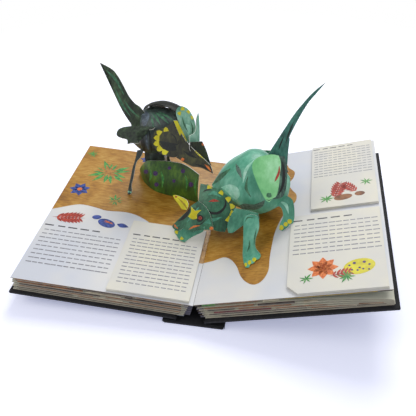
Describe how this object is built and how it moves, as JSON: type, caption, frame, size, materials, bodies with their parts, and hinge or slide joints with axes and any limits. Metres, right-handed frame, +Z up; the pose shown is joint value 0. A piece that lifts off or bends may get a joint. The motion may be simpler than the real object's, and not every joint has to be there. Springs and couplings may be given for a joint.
{
  "type": "pop up book",
  "caption": "Open hardback book whose card leaves carry two folded-paper horned dinosaurs that rise as it opens and fold flat as the covers close.",
  "frame": {"origin": "centre of the spine board's underside, on the table", "axes": "+X to the reader's right, +Y to the head of the book, +Z up"},
  "size_m": [0.3868, 0.261, 0.1978],
  "materials": {
    "case_board": "near-black cloth-covered board",
    "joint_cloth": "black book cloth",
    "endpaper": "bluish-grey paper",
    "leaves": "white coated card leaves",
    "booklet": "cream paper",
    "post_card": "unprinted white card",
    "foliage_card": "printed card, leaf green with dots",
    "horn_card": "printed card, yellow",
    "pale_card": "printed card, pale green",
    "dark_card": "printed card, dark olive green",
    "light_card": "printed card, light green",
    "head_card": "printed card, deep green",
    "green_card": "printed card, sea green"
  },
  "bodies": {
    "spine": {"spine_board": "case_board", "front_joint_cloth": "joint_cloth", "back_joint_cloth": "joint_cloth"},
    "front_cover": {"endpaper_hinge": "endpaper", "foliage_scrap": "foliage_card", "front_board": "case_board", "front_brow_horn": "horn_card", "front_face": "head_card", "front_jaw": "head_card", "front_nose_horn": "horn_card", "left_booklet": "booklet", "left_leaves": "leaves", "mound": "foliage_card", "rear_body": "dark_card", "rear_face_left": "dark_card", "rear_face_right": "dark_card", "rear_far_leg": "dark_card", "rear_fore_leg": "dark_card", "rear_frill_edge": "pale_card", "rear_frill_left": "dark_card", "rear_frill_right": "pale_card", "rear_hind_foot": "dark_card", "rear_post": "post_card", "rear_tail": "dark_card", "rear_trim": "horn_card"},
    "back_cover": {"back_board": "case_board", "front_body": "green_card", "front_far_leg": "green_card", "front_fore_leg": "green_card", "front_frill": "head_card", "front_haunch": "light_card", "front_hind_foot": "light_card", "front_post": "post_card", "front_rump": "green_card", "front_shoulder": "green_card", "front_tail": "green_card", "lower_booklet": "booklet", "right_leaves": "leaves", "upper_booklet": "booklet"}
  },
  "joints": [
    {"name": "front_cover_hinge", "type": "hinge", "parent": "spine", "child": "front_cover", "pos_m": [-0.0185, 0, 0.0195], "axis": [0, 1, 0], "range_deg": [-2.84, 87.16], "deforming": ["foliage_scrap", "front_brow_horn", "front_face", "front_jaw", "front_nose_horn", "mound", "rear_body", "rear_face_left", "rear_face_right", "rear_far_leg", "rear_fore_leg", "rear_frill_edge", "rear_frill_left", "rear_frill_right", "rear_hind_foot", "rear_post", "rear_tail", "rear_trim", "front_joint_cloth"]},
    {"name": "back_cover_hinge", "type": "hinge", "parent": "spine", "child": "back_cover", "pos_m": [0.013, 0, 0.025], "axis": [0, -1, 0], "range_deg": [-16.46, 73.54], "deforming": ["front_body", "front_far_leg", "front_fore_leg", "front_frill", "front_haunch", "front_hind_foot", "front_post", "front_rump", "front_shoulder", "front_tail", "back_joint_cloth"]}
  ]
}
